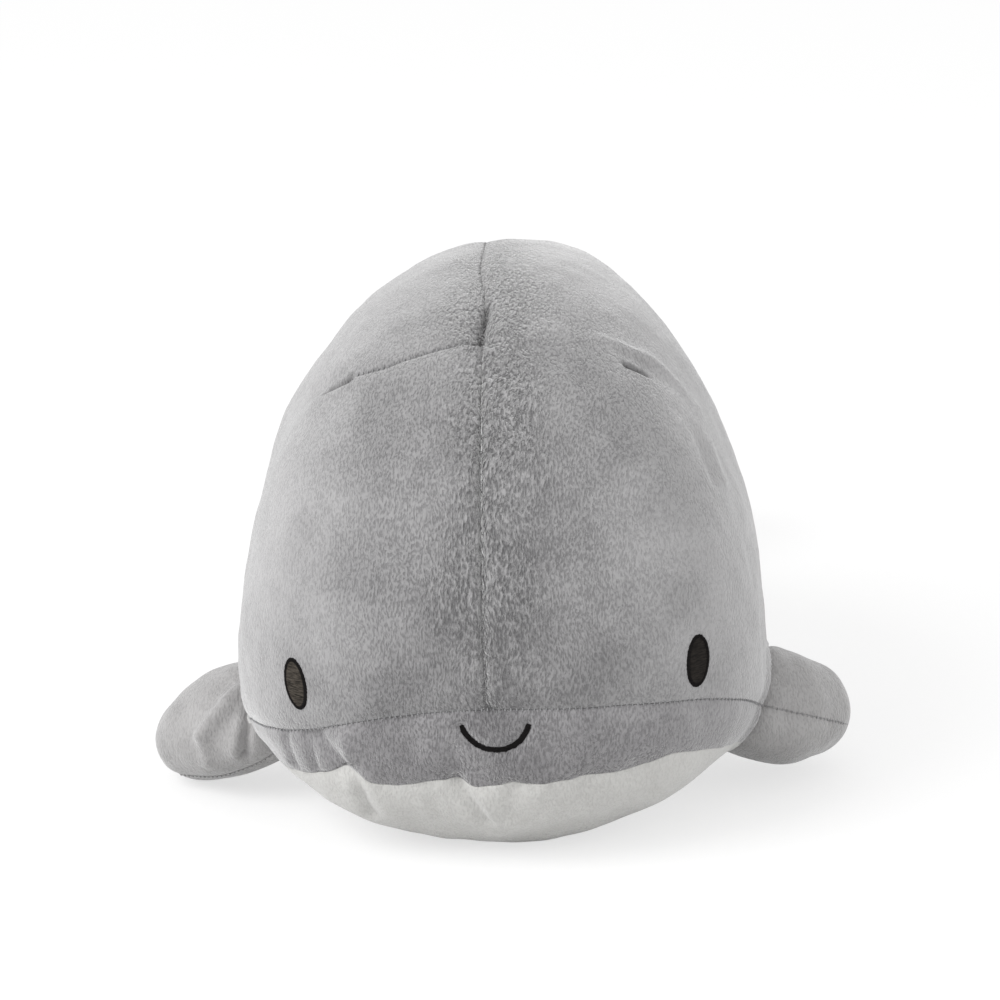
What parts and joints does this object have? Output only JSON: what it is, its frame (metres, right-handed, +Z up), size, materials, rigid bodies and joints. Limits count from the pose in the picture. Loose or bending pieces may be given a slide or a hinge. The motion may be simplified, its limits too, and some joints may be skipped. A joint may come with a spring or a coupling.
{
  "type": "plush whale",
  "caption": "Stuffed toy whale with a rounded grey pile body, white belly, embroidered face, side flippers and a forked tail fin.",
  "frame": {"origin": "centre of the bounding box, on the plane that the belly lies on", "axes": "+Z up, -Y the way the whale faces, +Y towards its tail, +X its left"},
  "size_m": [0.3421, 0.4584, 0.254],
  "materials": {
    "grey_pile": "short brushed pile, matt with a pale sheen at its edges",
    "chin_grey_pile": "short brushed pile, a little darker",
    "white_pile": "short brushed pile, off-white",
    "stuffing_fibre": "loose white fibre filling",
    "dark_thread": "satin stitched thread",
    "brown_thread": "satin stitched thread"
  },
  "bodies": {
    "body": {"body_stuffing": "stuffing_fibre", "side_panel_left": "grey_pile", "side_panel_right": "grey_pile", "chin_panel": "chin_grey_pile", "belly_panel": "white_pile", "eye_left_fill": "brown_thread", "eye_left_outline": "dark_thread", "eye_right_fill": "brown_thread", "eye_right_outline": "dark_thread", "mouth_stitch": "dark_thread"},
    "flipper_left": {"flipper_left_stuffing": "stuffing_fibre", "flipper_left_upper_panel": "grey_pile", "flipper_left_lower_panel": "grey_pile"},
    "flipper_right": {"flipper_right_stuffing": "stuffing_fibre", "flipper_right_upper_panel": "grey_pile", "flipper_right_lower_panel": "grey_pile"},
    "tail_fin": {"fluke_stuffing": "stuffing_fibre", "fluke_upper_panel": "grey_pile", "fluke_lower_panel": "grey_pile"}
  },
  "joints": [
    {"name": "flipper_left_hinge", "type": "hinge", "parent": "body", "child": "flipper_left", "pos_m": [0.12466, -0.11024, 0.04499], "axis": [0.0521, -0.9959, 0.0734], "range_deg": [-20, 24], "stiffness_Nm_per_rad": 0.05},
    {"name": "flipper_right_hinge", "type": "hinge", "parent": "body", "child": "flipper_right", "pos_m": [-0.12466, -0.11024, 0.04499], "axis": [0.0521, 0.9959, -0.0734], "range_deg": [-11, 33], "stiffness_Nm_per_rad": 0.05},
    {"name": "fluke_hinge", "type": "hinge", "parent": "body", "child": "tail_fin", "pos_m": [0, 0.1523, 0.095], "axis": [1, 0, 0], "range_deg": [-30, 30], "stiffness_Nm_per_rad": 0.15}
  ]
}
